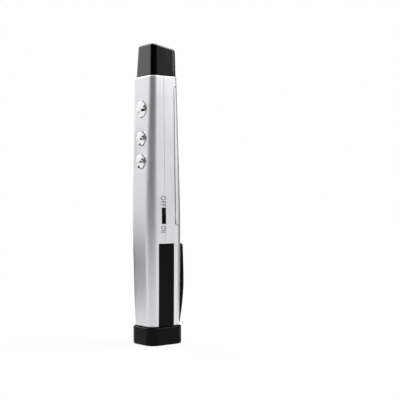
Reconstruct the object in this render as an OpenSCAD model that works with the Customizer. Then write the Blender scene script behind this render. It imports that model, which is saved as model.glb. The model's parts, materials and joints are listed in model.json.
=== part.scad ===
// Pen-shaped wireless presenter: three page and laser buttons, a power switch, a battery door,
// a pocket clip, and a USB receiver that stows in the tail with the tail cap as its head.
// +Z runs from tail to nose, the buttons face -Y, the switch is on +X, door and clip are on +Y.
// The origin is the centre of the tail cap's flat end.

/* [Body] */
// Length of the body above the battery, up to the nose seam
head_l = 22.8; // [22:0.2:26]
// Width of the body at its widest section
body_w = 18.4; // [18:0.2:20]
// Depth of the body at its deepest section
body_d = 20.6; // [20:0.2:22]
// Width of the body at the nose seam
seam_w = 17.4; // [17:0.2:18]
// Depth of the body at the nose seam
seam_d = 16.2; // [16:0.2:17]
// Height of the widest section
crown_z = 66; // [58:1:76]
// How the taper gathers towards the nose: 1 is straight
taper_power = 1.05; // [1:0.05:1.4]
// How much each side draws in at the tail
tail_draft = 0.75; // [0.4:0.05:0.9]
// Radius of the long edges at the nose seam
seam_edge_r = 3; // [2.4:0.1:3.4]
// Radius of the long edges at the tail
tail_edge_r = 4.5; // [4:0.1:4.6]
// Wall of the two housings
wall = 1.3; // [1.1:0.1:1.4]
// Inner walls and bulkheads
web = 1.2; // [1:0.1:1.4]
// Where the two housings part, along Y
parting_y = -1.2; // [-1.6:0.1:-0.9]
// Gap along the parting line
parting_gap = 0.08; // [0.04:0.02:0.12]
// Chamfer round both ends of the body
end_chamfer = 0.45; // [0.3:0.05:0.6]

/* [Nose cap] */
// Height of the nose cap above the seam
nose_h = 16.3; // [15:0.5:18]
// Setback of the nose cap's sides from the body at the seam
nose_side_step = 0.6; // [0.5:0.1:1]
// Setback of its front and back
nose_step = 0.35; // [0.25:0.05:0.5]
// How far the nose cap sits towards the back
nose_back = 0.35; // [0:0.05:0.35]
// How much further back its tip is
nose_lean = 0.6; // [0:0.1:0.7]
// How much each side of the nose cap draws in at its tip
nose_side_draw = 0.85; // [0.3:0.05:1]
// How much its front and back draw in
nose_draw = 0.25; // [0.1:0.05:0.6]
// Slope of the nose's end face, down towards the back
nose_slope = 10; // [6:1:12]
// Bevel round the nose's end face
nose_bevel = 0.7; // [0.4:0.1:1]
// Cut across the back corner of the nose
nose_nick = 2.6; // [1.6:0.2:3.2]
// Wall of the nose cap
nose_wall = 1.4; // [1.2:0.1:1.6]
// Depth of the skirt that plugs into the body
skirt_h = 2.6; // [2:0.2:3]

/* [Laser] */
// Diameter of the hole that the beam leaves by
beam_d = 3.2; // [2.6:0.2:3.6]
// Diameter of the laser barrel
barrel_d = 6.4; // [6:0.1:6.6]
// Length of the laser barrel
barrel_l = 12; // [10:0.5:12.5]

/* [Tail cap] */
// Height of the tail cap
tail_h = 8.9; // [8:0.1:10]
// How far the tail cap stands out past the body
tail_lip = 0.95; // [0.6:0.05:1.2]
// Rounding of the tail cap's lower edge
tail_round = 0.8; // [0.5:0.1:1.2]
// Gap between the tail cap and the body
tail_gap = 0.2; // [0.15:0.05:0.4]

/* [Receiver] */
// Length of the receiver's body, from the tail cap up
receiver_l = 41.4; // [40:0.2:43]
// Thickness of the receiver's body
receiver_t = 9; // [8.6:0.1:9.2]
// Centre of the receiver along Y
receiver_y = -0.45; // [-0.6:0.05:-0.3]
// Clearance between the receiver and its slot
receiver_clear = 0.12; // [0.08:0.02:0.2]
// Seam of the receiver's two shells, from the receiver's centre
receiver_seam = 2; // [1.8:0.1:2.4]
// Wall of the receiver's shells
receiver_wall = 1.2; // [1:0.1:1.4]
// Width of the USB plug
plug_w = 12; // [11.9:0.1:12.1]
// Thickness of the USB plug
plug_t = 4.5; // [4.4:0.1:4.6]
// Length of the USB plug past the receiver's body
plug_l = 11.8; // [11.6:0.1:12]

/* [Buttons] */
// Diameter of the laser button
laser_button_d = 8.2; // [7.6:0.2:8.4]
// Diameter of the page buttons
page_button_d = 6.8; // [6.4:0.2:7.2]
// Laser button below the nose seam
laser_drop = 16.4; // [15:0.2:17]
// Spacing of the laser button and the page-up button
laser_pitch = 14.7; // [14.4:0.1:16]
// Spacing of the two page buttons
page_pitch = 11.5; // [11.2:0.1:12]
// Height of a button's straight rim above the body
rim_h = 0.5; // [0.3:0.1:0.8]
// Rise of a button's dome above its rim
dome_h = 1; // [0.7:0.1:1.3]
// Gap round a button
button_clear = 0.2; // [0.15:0.05:0.25]
// Travel of a button
button_travel = 0.4; // [0.3:0.05:0.45]
// Width of the shallow dish past the page buttons
dish_margin = 2.6; // [1.4:0.2:2.6]
// Depth of the shallow dish
dish_depth = 0.6; // [0.4:0.1:0.7]

/* [Power switch] */
// Centre of the switch slot above the tip of the stowed plug
switch_rise = 2.1; // [2:0.1:3]
// Length of the switch knob
knob_l = 4.2; // [3.8:0.1:4.6]
// Width of the switch knob
knob_w = 2.2; // [1.8:0.1:2.4]
// Travel of the switch
switch_travel = 3.6; // [3:0.1:4]
// Gap round the switch knob
knob_clear = 0.15; // [0.1:0.05:0.25]
// How far the knob stands out of the body
knob_proud = 0.3; // [0.1:0.1:0.6]

/* [Battery door] */
// How far the battery door reaches below the spring's compartment
door_drop = 3; // [2.4:0.1:3.4]
// Distance of the door from the nose seam
door_top = 4.9; // [4.5:0.1:5.3]
// Edge of the door on the body's sides, along Y
door_y = 5; // [4.8:0.1:5.4]
// Corner radius of the door's side outline
door_corner_r = 1.2; // [0.8:0.1:1.6]
// Thickness of the door
door_t = 1.1; // [1:0.1:1.3]
// Gap round the door
door_gap = 0.2; // [0.08:0.02:0.2]

/* [Battery] */
// Diameter of the AAA cell
cell_d = 10.5; // [9.8:0.1:10.5]
// Length of the AAA cell
cell_l = 44.5; // [43.5:0.1:44.5]
// Clearance round the cell
cell_clear = 0.15; // [0.1:0.05:0.2]
// Space for the spring under the cell
spring_h = 2.8; // [2.4:0.1:3.2]
// Wire of the spring
spring_wire = 0.5; // [0.4:0.05:0.6]

/* [Boards] */
// Thickness of the main board
board_t = 0.8; // [0.6:0.1:1]
// Height of a button's switch on the board
tact_h = 0.9; // [0.8:0.05:1]
// Height of a switch's plunger above its case at rest
plunger_h = 0.55; // [0.5:0.05:0.6]

/* [Pocket clip] */
// Width of the clip
clip_w = 5; // [4.4:0.2:6]
// Thickness of the clip's arm
clip_t = 1.6; // [1.4:0.1:1.8]
// How far the clip's back stands off the body
clip_stand = 5; // [4.7:0.1:5.6]
// How far the clip's back dips towards its root
clip_dip = 2.7; // [2:0.1:3]
// Gap between the clip and the body
clip_gap = 0.12; // [0.08:0.02:0.2]

/* [Hidden] */

$fn = 64;
skin = 0.01;        // thickness of one slice of a lofted form
reach = 60;         // longer than any cut has to be
corner_steps = 8;   // steps round each long edge
loft_steps = 16;    // slices along the body
least_r = 0.6;       // smallest inner corner
seat_gap = 0.1;      // between pieces of one body that lie side by side

body_z0 = tail_h + tail_gap;
bay_top_z = tail_h + receiver_l;
plug_top_z = bay_top_z + plug_l;
plug_room = 0.3;     // gap round the plug
cell_z0 = plug_top_z + plug_room + web + spring_h;
cell_z1 = cell_z0 + cell_l;
seam_z = cell_z1 + head_l;
total_h = seam_z + nose_h;
laser_z = seam_z - laser_drop;
page_up_z = laser_z - laser_pitch;
page_down_z = page_up_z - page_pitch;
switch_z = plug_top_z + switch_rise;
door_z1 = seam_z - door_top;
door_z0 = cell_z0 - spring_h - web - door_drop;

// ---- The body's section at height z ----
function draw_in(z) = z > crown_z ? pow((z - crown_z) / (seam_z - crown_z), taper_power) : 0;
function draft(z) = z < crown_z ? tail_draft * pow((crown_z - z) / (crown_z - body_z0), 2) : 0;
function half_w(z) = body_w / 2 - (body_w - seam_w) / 2 * draw_in(z) - draft(z);
function half_d(z) = body_d / 2 - (body_d - seam_d) / 2 * draw_in(z) - draft(z);
function edge_r(z) = tail_edge_r + (seam_edge_r - tail_edge_r) * draw_in(z);

// Points of a rectangle with round corners
function rounded(hw, hd, r, steps = corner_steps) = [
    for (q = [0:3])
        for (i = [0:steps])
            let (
                a = 90 * (q + i / steps),
                sx = q == 0 || q == 3 ? 1 : -1,
                sy = q < 2 ? 1 : -1
            )
            [sx * (hw - r) + r * cos(a), sy * (hd - r) + r * sin(a)]
];
function section(z, inset) =
    rounded(half_w(z) - inset, half_d(z) - inset, max(edge_r(z) - inset, least_r));

// ---- Places that several pieces share ----
slot_front_y = receiver_y - receiver_t / 2 - receiver_clear;
slot_rear_y = receiver_y + receiver_t / 2 + receiver_clear;
bay_end_z = bay_top_z + receiver_clear;      // closed end of the receiver slot
bulkhead_z1 = bay_end_z + web;
plate_t = 0.3;                               // nickel contacts
cell_y = half_d(cell_z1) - door_t - cell_clear - cell_d / 2;
board_rear_y = cell_y - cell_d / 2 - cell_clear - seat_gap;
board_front_y = board_rear_y - board_t;

screw_r = 0.8;                               // housing screws, drawn without their thread
screw_head_r = 1.6;
screw_head_h = 1;
screw_room = 0.2;                            // clearance hole round a screw
thread_room = 0.05;                          // in the boss that a screw bites into
screw_bite = 3;                              // how far a screw reaches into its boss
boss_r = 1.7;
rear_boss_r = screw_head_r + 0.6;
deck_screw_drop = 8.7;
deck_screw_z = seam_z - deck_screw_drop;
side_screw_z = cell_z0 - screw_head_r - 2 * seat_gap;
side_screw_x = -(half_w(side_screw_z) - wall - screw_head_r - seat_gap / 2);
deck_y = 2;                                  // front face of the deck that the upper screw holds
side_seat_y = 0.6;                           // seat of the side screw's head

board_screw_r = 0.7;
board_head_r = 1.3;
board_head_h = seat_gap / 2 + cell_clear;    // low enough to pass under the cell
board_boss_r = 1.5;
board_bite = 2;
board_screw_drop = 10;                       // lower board screw, below the page-down button
board_screw_zs = [(laser_z + page_up_z) / 2, page_down_z - board_screw_drop];
board_z1 = deck_screw_z - boss_r - 2 * seat_gap;
board_hw = half_w(board_z1) - wall - 4 * seat_gap;

case_w = 2.2;                                // power switch: its case and the knob's foot
case_t = 2.4;
case_wall = 0.4;
case_x1 = half_w(switch_z) - wall - seat_gap;
switch_y = board_rear_y + case_t / 2;
foot_l = 1.6;
foot_w = 1.4;
foot_deep = 1.3;
foot_low_z = switch_z - switch_travel / 2 + knob_l / 2 - foot_l;     // its lower end, switched on
case_z0 = foot_low_z - knob_clear - case_wall;
case_z1 = foot_low_z + switch_travel + foot_l + knob_clear + case_wall;
board_z0 = case_z0 - case_wall;

lens_set = 5.2;                              // the lens lies this far inside the nose
barrel_z1 = total_h - lens_set;
barrel_z0 = barrel_z1 - barrel_l;
diode_h = 2.2;
lead_h = 0.6;
laser_board_z1 = barrel_z0 - diode_h - lead_h;
deck_z1 = laser_board_z1 - board_t - 2 * seat_gap;

clip_rise = 0.8;                             // the clip's root above the body's end
clip_short = 0.4;                            // its free end below the receiver slot's end
clip_z0 = body_z0 + clip_rise;
clip_z1 = bay_top_z - clip_short;
clip_peak_z = (clip_z0 + clip_z1) / 2 + 1;
clip_root_h = 7.4;
clip_screw_z = clip_z0 + clip_root_h / 2;
clip_bite = 2.2;
clip_seat_y = half_d(clip_z0 + clip_root_h) + clip_gap;

// ---- Building blocks ----
module slab(z, points) translate([0, 0, z]) linear_extrude(skin) polygon(points);

// The body between two heights, drawn in by inset
module body_form(z0, z1, inset = 0, steps = loft_steps, chamfer = 0) {
    run = z1 - z0 - 2 * chamfer - skin;
    hull() {
        for (i = [0:steps])
            let (z = z0 + chamfer + run * i / steps) slab(z, section(z, inset));
        if (chamfer > 0) {
            slab(z0, section(z0, inset + chamfer));
            slab(z1 - skin, section(z1, inset + chamfer));
        }
    }
}

// A box between two corners
module block(low, high) translate(low) cube(high - low);

// A cylinder along -Y at x, z, from depth h0 to depth h1 in front of the middle plane
module peg(x, z, r, h0, h1) translate([x, -h0, z]) rotate([90, 0, 0]) cylinder(r = r, h = h1 - h0);

// The same along +Y
module rear_peg(x, z, r, y0, y1) translate([x, y0, z]) rotate([-90, 0, 0]) cylinder(r = r, h = y1 - y0);

// An outline in Y and Z, extruded across the body
module across(width) translate([-width / 2, 0, 0]) rotate([90, 0, 90]) linear_extrude(width) children();

module half_space(front)
    if (front) block([-reach, -reach, -1], [reach, parting_y - parting_gap / 2, total_h + 1]);
    else block([-reach, parting_y + parting_gap / 2, -1], [reach, reach, total_h + 1]);

module body_shell() difference() {
    body_form(body_z0, seam_z, chamfer = end_chamfer);
    body_form(body_z0 + web, seam_z + 1, inset = wall, steps = 10);
}

module receiver_slot()
    block([-reach, slot_front_y, body_z0 - 1], [reach, slot_rear_y, bay_end_z]);

module plug_window() block(
    [-plug_w / 2 - plug_room, receiver_y - plug_t / 2 - plug_room, bay_end_z - 1],
    [plug_w / 2 + plug_room, receiver_y + plug_t / 2 + plug_room, bulkhead_z1 + 1]);

module switch_slot() translate([half_w(switch_z), switch_y, switch_z]) cube(
    [4 * wall, knob_w + 2 * knob_clear, knob_l + switch_travel + 2 * knob_clear], center = true);

module door_outline(grow) across(2 * reach)
    translate([(door_y + reach) / 2, (door_z0 + door_z1) / 2]) polygon(rounded(
        (reach - door_y) / 2 + grow, (door_z1 - door_z0) / 2 + grow, door_corner_r + grow));

// ---- Housings ----
module dish() {
    // a shallow trough with round ends: its section is the cap of a large circle
    r = page_button_d / 2 + dish_margin;
    ball_r = (r * r + dish_depth * dish_depth) / (2 * dish_depth);
    face = half_d((page_up_z + page_down_z) / 2);
    steps = 8;
    half_angle = asin(r / ball_r);
    lift = ball_r - dish_depth;
    over = 0.4;              // the cut carries on past the face
    arc = [for (i = [0:steps]) let (a = half_angle * i / steps) [ball_r * sin(a), -ball_r * cos(a)]];
    half_cut = concat(arc, [[r, over - lift], [0, over - lift]]);
    tilt = atan((half_d(page_down_z) - half_d(page_up_z)) / page_pitch);
    translate([0, -face, (page_up_z + page_down_z) / 2]) rotate([90 - tilt, 0, 0]) {
        for (s = [-1, 1])
            translate([0, s * page_pitch / 2, lift]) rotate_extrude() polygon(half_cut);
        translate([0, page_pitch / 2, lift]) rotate([90, 0, 0]) linear_extrude(page_pitch) {
            polygon(half_cut);
            mirror([1, 0]) polygon(half_cut);
        }
    }
}

module front_housing() color("silver") {
    difference() {
        union() {
            intersection() {
                body_shell();
                half_space(true);
            }
            // walls of the receiver bay and the low boss, kept to the inside of the shell
            intersection() {
                body_form(body_z0 + web / 2, side_screw_z + 2 * boss_r, inset = wall / 2, steps = 5);
                union() {
                    block([-reach, slot_front_y - web, 0], [reach, slot_front_y + skin, bulkhead_z1]);
                    block([-reach, -reach, bay_end_z], [reach, parting_y - parting_gap / 2, bulkhead_z1]);
                    peg(side_screw_x, side_screw_z, boss_r, parting_gap / 2 - parting_y, body_d / 2);
                }
            }
            for (z = board_screw_zs) peg(0, z, board_boss_r, -board_front_y, half_d(z) - wall / 2);
            peg(0, deck_screw_z, boss_r, parting_gap / 2 - parting_y, half_d(deck_screw_z) - wall / 2);
        }
        receiver_slot();
        plug_window();
        switch_slot();
        dish();
        peg(0, laser_z, laser_button_d / 2 + button_clear, 0, reach);
        for (z = [page_up_z, page_down_z]) peg(0, z, page_button_d / 2 + button_clear, 0, reach);
        for (z = board_screw_zs)
            peg(0, z, board_screw_r + thread_room, -board_front_y - 1, half_d(z) - wall);
        peg(0, deck_screw_z, screw_r + thread_room, 0, half_d(deck_screw_z) - wall);
        peg(side_screw_x, side_screw_z, screw_r + thread_room, 0, half_d(side_screw_z) - 2 * wall);
    }
}

module rear_housing() color("silver") difference() {
    union() {
        difference() {
            intersection() {
                body_shell();
                half_space(false);
            }
            door_outline(door_gap / 2);
        }
        intersection() {
            body_form(body_z0 + web / 2, seam_z - skirt_h - 2 * seat_gap, inset = wall / 2, steps = 8);
            rear_webs();
        }
        rear_peg(0, deck_screw_z, rear_boss_r, parting_y + parting_gap / 2, deck_y + skin);
        intersection() {
            rear_peg(side_screw_x, side_screw_z, rear_boss_r, parting_y + parting_gap / 2, side_seat_y);
            block([-half_w(side_screw_z) + wall / 2, -reach, 0], [0, reach, total_h]);
        }
    }
    receiver_slot();
    plug_window();
    switch_slot();
    translate([0, cell_y, cell_z0 - 0.01]) cylinder(r = cell_d / 2 + cell_clear, h = cell_l + plate_t);
    rear_peg(0, deck_screw_z, screw_r + screw_room, -reach, reach);
    rear_peg(side_screw_x, side_screw_z, screw_r + screw_room, -reach, reach / 2);
    rear_peg(side_screw_x, side_screw_z, screw_head_r + screw_room, side_seat_y, door_y);
    // the clip's screw, and the way in for its driver
    rear_peg(0, clip_screw_z, screw_r + screw_room, 0, reach);
    rear_peg(0, clip_screw_z, screw_head_r + screw_room, 0, slot_rear_y + web + 1);
}

// Inner walls of the rear housing: receiver bay, cell compartment and the deck above it
rib_t = 0.9;
rib_grip = 1.6;          // how far the cell's ribs reach past its middle
module rear_webs() {
    y0 = parting_y + parting_gap / 2;
    low_y1 = door_y - door_t / 2;               // further out the door's wings need the room
    high_y1 = half_d(cell_z1) - 2 * door_t + seat_gap;
    high_x = case_x1 - case_w - 2 * seat_gap;
    rib_y1 = cell_y + rib_grip;
    end0 = cell_z0 - spring_h - web;
    end1 = cell_z1 + plate_t;
    block([-reach, slot_rear_y - skin, 0], [reach, slot_rear_y + web, bulkhead_z1]);
    block([-reach, y0, bay_end_z], [reach, reach, bulkhead_z1]);
    for (z = [end0, end1]) {
        block([-reach, z == end0 ? board_rear_y + case_t + 3 * seat_gap : y0, z], [reach, low_y1, z + web]);
        block([-high_x, y0, z], [high_x, high_y1, z + web]);
    }
    for (i = [1:3]) {
        z = cell_z0 + i * cell_l / 4;
        block([-reach, y0, z], [reach, rib_y1, z + rib_t]);
    }
    block([-reach, deck_y, end1], [reach, deck_y + web, deck_z1]);
}

notch_r = 1.5;
notch_deep = 0.6;
module battery_door() color("silver") difference() {
    intersection() {
        difference() {
            body_form(door_z0 - 1, door_z1 + 1, steps = 12);
            body_form(door_z0 - 2, door_z1 + 2, inset = door_t, steps = 12);
        }
        door_outline(-door_gap / 2);
    }
    // thumbnail notch at the lower edge
    translate([0, half_d(door_z0) + notch_r - notch_deep, door_z0 + notch_r]) rotate([0, 90, 0])
        cylinder(r = notch_r, h = 4 * notch_r, center = true);
}

// ---- Nose cap ----
nick_angle = 40;
skirt_t = 1;
barrel_clear = 0.05;
function nose_hw(t) = seam_w / 2 - nose_side_step - nose_side_draw * t;
function nose_hd(t) = seam_d / 2 - nose_step - nose_draw * t;

// Lays a slice on the nose's sloped end, with its front edge at height z
module sloped(z) {
    fall = tan(nose_slope);
    front_y = nose_hd(1) - nose_bevel;
    translate([0, nose_lean, z - fall * front_y])
        multmatrix([[1, 0, 0, 0], [0, 1, 0, 0], [0, -fall, 1, 0], [0, 0, 0, 1]]) children();
}

module nose_form(inset, z0, z1) translate([0, nose_back, 0]) hull() {
    r = seam_edge_r - inset / 2;
    slab(z0, rounded(nose_hw(0) - inset, nose_hd(0) - inset, r));
    sloped(z1 - nose_bevel) slab(-skin, rounded(nose_hw(1) - inset, nose_hd(1) - inset, r));
    sloped(z1) slab(-skin, rounded(
        nose_hw(1) - inset - nose_bevel, nose_hd(1) - inset - nose_bevel, r - nose_bevel / 2));
}

module nose_cap() color("black") difference() {
    nick_z = total_h - tan(nose_slope) * (nose_hd(1) * 2 - nose_bevel - nose_nick);
    union() {
        nose_form(0, seam_z + seat_gap, total_h);
        // skirt that plugs into the body
        body_form(seam_z - skirt_h, seam_z + seat_gap + skin, inset = wall + seat_gap, steps = 1);
    }
    // hollow, with a tube left standing round the laser barrel
    difference() {
        union() {
            nose_form(nose_wall, seam_z + nose_wall, total_h - nose_wall);
            body_form(seam_z - skirt_h - 1, seam_z + nose_wall + skin,
                inset = wall + seat_gap + skirt_t, steps = 1);
        }
        translate([0, 0, seam_z - skirt_h]) cylinder(r = barrel_d / 2 + nose_wall, h = 2 * nose_h);
    }
    translate([0, 0, seam_z - skirt_h - 1]) cylinder(
        r = barrel_d / 2 + barrel_clear, h = barrel_z1 - seam_z + skirt_h + 1);
    cylinder(r = beam_d / 2, h = total_h + 1);
    translate([0, nose_back + nose_lean + nose_hd(1) - nose_nick, nick_z]) rotate([-nick_angle, 0, 0])
        translate([-reach, 0, 0]) cube([2 * reach, reach, reach]);
}

// ---- Laser ----
lens_r = 2.4;
lens_h = 1.1;
lens_tip_r = 1.7;
diode_r = 2.8;
can_r = 2.3;             // of the diode's can, on its base
can_base_h = 0.6;
board_ears = 0.8;        // how far the laser's board reaches past the barrel
lead_r = 0.23;
ring_pitch = 1.2;
ring_deep = 0.25;

module laser_barrel() color("goldenrod") difference() {
    translate([0, 0, barrel_z0]) cylinder(r = barrel_d / 2, h = barrel_l);
    translate([0, 0, barrel_z0 - 1]) cylinder(r = beam_d / 2, h = barrel_l + 2);
    translate([0, 0, barrel_z1 - lens_h]) cylinder(r = lens_r + barrel_clear, h = lens_h + 1);
    // grip rings
    for (i = [1:3]) translate([0, 0, barrel_z0 + ring_pitch * i]) difference() {
        cylinder(r = barrel_d, h = ring_pitch / 2);
        cylinder(r = barrel_d / 2 - ring_deep, h = ring_pitch / 2);
    }
}

module laser_lens() color("lightblue", 0.5) translate([0, 0, barrel_z1 - lens_h]) {
    cylinder(r = lens_r, h = lens_h / 2);
    translate([0, 0, lens_h / 2]) cylinder(r1 = lens_r, r2 = lens_tip_r, h = lens_h / 2);
}

module laser_diode() color("gold") translate([0, 0, barrel_z0 - diode_h]) {
    cylinder(r = diode_r, h = can_base_h);
    cylinder(r = can_r, h = diode_h);
    for (a = [0:120:240]) rotate([0, 0, a]) translate([diode_r / 2, 0, -lead_h])
        cylinder(r = lead_r, h = lead_h + skin);
}

module laser_board() color("darkgreen")
    translate([0, 0, laser_board_z1 - board_t]) intersection() {
        cylinder(r = barrel_d / 2 + board_ears, h = board_t);
        translate([-reach, -barrel_d / 2, 0]) cube([2 * reach, barrel_d, board_t]);
    }

// ---- Buttons ----
flange_w = 0.6;          // how far a button's flange reaches behind the wall
flange_t = 0.6;
button_float = 0.08;     // gap between the flange and the wall at rest
stem_r = 1.3;
plunger_r = 1;
plunger_l = 0.9;
plunger_clear = 0.1;
tact_w = 4.4;
plunger_top = tact_h + plunger_h - board_front_y;   // depth of a plunger's tip in front of the middle

// A domed cap on a flanged stem, turned about the button's axis
module button(z, d) {
    r = d / 2;
    flange_r = r + flange_w;
    flange_top = half_d(z + flange_r) - wall - button_float;
    rim = half_d(z) + rim_h;
    ball_r = (r * r + dome_h * dome_h) / (2 * dome_h);
    half_angle = asin(r / ball_r);
    steps = 10;
    dome = [for (i = [steps:-1:0])
        let (a = half_angle * i / steps) [ball_r * sin(a), rim + dome_h - ball_r * (1 - cos(a))]];
    translate([0, 0, z]) rotate([90, 0, 0]) rotate_extrude() polygon(concat(
        [[0, plunger_top], [stem_r, plunger_top], [stem_r, flange_top - flange_t],
         [flange_r, flange_top - flange_t], [flange_r, flange_top], [r, flange_top]],
        dome));
}

module plunger(z) peg(0, z, plunger_r, plunger_top - plunger_l, plunger_top);

module tact(z) difference() {
    translate([-tact_w / 2, board_front_y - tact_h, z - tact_w / 2]) cube([tact_w, tact_h, tact_w]);
    peg(0, z, plunger_r + plunger_clear, -board_front_y - 1, reach);
}

module laser_button() color("gainsboro") button(laser_z, laser_button_d);
module page_up_button() color("gainsboro") button(page_up_z, page_button_d);
module page_down_button() color("gainsboro") button(page_down_z, page_button_d);
module laser_plunger() color("white") plunger(laser_z);
module page_up_plunger() color("white") plunger(page_up_z);
module page_down_plunger() color("white") plunger(page_down_z);
module laser_switch() color("dimgray") tact(laser_z);
module page_up_switch() color("dimgray") tact(page_up_z);
module page_down_switch() color("dimgray") tact(page_down_z);

// ---- Power switch: the knob rests at the upper end, off ----
groove_deep = 0.2;
module power_knob() color("dimgray") {
    x0 = half_w(switch_z) - wall + seat_gap;
    x1 = half_w(switch_z) + knob_proud;
    z = switch_z + switch_travel / 2;
    difference() {
        translate([(x0 + x1) / 2, switch_y, z]) cube([x1 - x0, knob_w, knob_l], center = true);
        for (s = [-1:1]) translate([x1, switch_y, z + s * knob_l / 4])
            cube([2 * groove_deep, 2 * knob_w, knob_l / 9], center = true);
    }
    translate([case_x1 - foot_deep, switch_y - foot_w / 2, foot_low_z + switch_travel])
        cube([x0 - case_x1 + foot_deep + skin, foot_w, foot_l]);
}

module power_switch_case() color("silver") difference() {
    block([case_x1 - case_w, board_rear_y, case_z0], [case_x1, board_rear_y + case_t, case_z1]);
    translate([case_x1, switch_y, (case_z0 + case_z1) / 2]) cube(
        [2 * (foot_deep + seat_gap), foot_w + 2 * knob_clear, case_z1 - case_z0 - 2 * case_wall],
        center = true);
}

// ---- Boards ----
module main_board() color("darkgreen") difference() {
    translate([0, board_rear_y, 0]) rotate([90, 0, 0]) linear_extrude(board_t) polygon([
        [board_hw, board_z1], [-board_hw, board_z1],
        [-board_hw, side_screw_z + boss_r + 3 * seat_gap],
        [side_screw_x + boss_r + 3 * seat_gap, side_screw_z + boss_r + 3 * seat_gap],
        [side_screw_x + boss_r + 3 * seat_gap, board_z0],
        [case_x1 - seat_gap, board_z0],
        [case_x1 - seat_gap, case_z1 + case_wall],
        [board_hw, case_z1 + case_wall + case_x1 - board_hw]
    ]);
    for (z = board_screw_zs) peg(0, z, board_screw_r + screw_room, 0, reach);
}

crystal_w = 2.5;
crystal_l = 3.2;
crystal_h = 0.7;
radio_w = 4;
radio_h = 0.85;
chip_gap = 1;
crystal_z = board_z0 + chip_gap + crystal_l / 2;
radio_z = crystal_z + crystal_l / 2 + chip_gap + radio_w / 2;

// A chip on the front of the main board
module chip(x, z, w, l, h) translate([x - w / 2, board_front_y - h, z - l / 2]) cube([w, h, l]);

module crystal() color("silver") chip(0, crystal_z, crystal_w, crystal_l, crystal_h);
module radio_chip() color("black") chip(0, radio_z, radio_w, radio_w, radio_h);

// ---- Battery ----
nub_r = 1.9;
nub_h = 0.9;
module battery_cell() color("seagreen") translate([0, cell_y, 0]) {
    translate([0, 0, cell_z0]) cylinder(r = cell_d / 2, h = cell_l - nub_h);
    translate([0, 0, cell_z0]) cylinder(r = nub_r, h = cell_l);
}

spring_turns = 3.5;
spring_r0 = 3.8;
spring_r1 = 2.6;
// Closed sweep of a round wire along a rising, narrowing coil
module coil(turns, r0, r1, h, wire) {
    around = 14;
    sides = 6;
    rings = floor(turns * around);
    points = [for (i = [0:rings], k = [0:sides - 1])
        let (
            t = i / rings, a = 360 * turns * t, b = 360 * k / sides,
            r = r0 + (r1 - r0) * t + wire / 2 * cos(b)
        )
        [r * cos(a), r * sin(a), wire / 2 + (h - wire) * t + wire / 2 * sin(b)]];
    walls = [for (i = [0:rings - 1], k = [0:sides - 1])
        let (n = (k + 1) % sides)
        [i * sides + k, i * sides + n, (i + 1) * sides + n, (i + 1) * sides + k]];
    polyhedron(points, concat(
        [[for (k = [sides - 1:-1:0]) k]], walls, [[for (k = [0:sides - 1]) rings * sides + k]]), 4);
}

module battery_spring() color("lightgray") translate([0, cell_y, cell_z0 - spring_h]) {
    translate([-spring_r0, -spring_r0, 0]) cube([2 * spring_r0, 2 * spring_r0, plate_t]);
    sink = spring_wire / 4;
    translate([0, 0, plate_t - sink])
        coil(spring_turns, spring_r0 - spring_wire, spring_r1, spring_h - plate_t + sink, spring_wire);
}

module battery_plate() color("lightgray")
    translate([-spring_r0, cell_y - spring_r0, cell_z1]) cube([2 * spring_r0, 2 * spring_r0, plate_t]);

// ---- Screws ----
// A screw along Y: its head sits on y, its shank runs towards dir
module screw(x, y, z, dir, shank_r, shank_l, head_r, head_h) translate([x, y, z]) rotate([dir * 90, 0, 0]) {
    translate([0, 0, -skin]) cylinder(r = shank_r, h = shank_l + skin);
    translate([0, 0, -head_h]) difference() {
        cylinder(r = head_r, h = head_h);
        for (a = [0, 90]) rotate([0, 0, a])
            cube([head_r * 1.2, head_r * 0.3, head_h], center = true);
    }
}

module housing_screws() color("dimgray") {
    for (p = [[0, deck_y + web, deck_screw_z], [side_screw_x, side_seat_y, side_screw_z]])
        screw(p.x, p.y, p.z, 1, screw_r, p.y - parting_y + screw_bite, screw_head_r, screw_head_h);
}

module board_screws() color("dimgray") for (z = board_screw_zs)
    screw(0, board_rear_y, z, 1, board_screw_r, board_t + board_bite, board_head_r, board_head_h);

module clip_screw() color("dimgray") {
    inner_y = half_d(clip_screw_z - screw_head_r) - wall - seat_gap / 2;
    screw(0, inner_y, clip_screw_z, -1, screw_r, wall + clip_bite, screw_head_r, screw_head_h);
}

// ---- Pocket clip: rooted by the tail, its free end towards the nose ----
clip_chamfer = 0.7;
clip_tip_dip = 0.4;
clip_curl = 1.7;         // how its dip gathers towards the root: 1 is straight
foot_r = 1.5;
foot_gap = 0.35;
function clip_back(z) = half_d(clip_peak_z) + clip_stand - (z < clip_peak_z
    ? clip_dip * pow((clip_peak_z - z) / (clip_peak_z - clip_z0), clip_curl)
    : clip_tip_dip * pow((z - clip_peak_z) / (clip_z1 - clip_peak_z), 2));

module pocket_clip() color("black") {
    steps = 14;
    root_z1 = clip_z0 + clip_root_h;
    back = [for (i = [0:steps]) let (z = clip_z0 + (clip_z1 - clip_chamfer - clip_z0) * i / steps)
        [clip_back(z), z]];
    belly = [for (i = [0:steps]) let (z = clip_z1 + (root_z1 - clip_z1) * i / steps)
        [clip_back(z) - clip_t, z]];
    foot_y = half_d(clip_z1) + foot_gap + foot_r;
    foot_z = clip_z1 - foot_r;
    difference() {
        across(clip_w) polygon(concat(
            [[clip_seat_y, clip_z0]], back, [[clip_back(clip_z1) - clip_chamfer, clip_z1]], belly,
            [[clip_seat_y, root_z1 - clip_t]]));
        rear_peg(0, clip_screw_z, screw_r + foot_gap, 0, clip_seat_y + clip_bite + foot_gap);
    }
    // rounded foot under the free end, which grips the cloth
    translate([0, foot_y, foot_z]) rotate([0, 90, 0]) cylinder(r = foot_r, h = clip_w, center = true);
    block([-clip_w / 2, foot_y, foot_z - foot_r],
          [clip_w / 2, clip_back(clip_z1) - clip_t / 2, foot_z + foot_r]);
}

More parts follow.
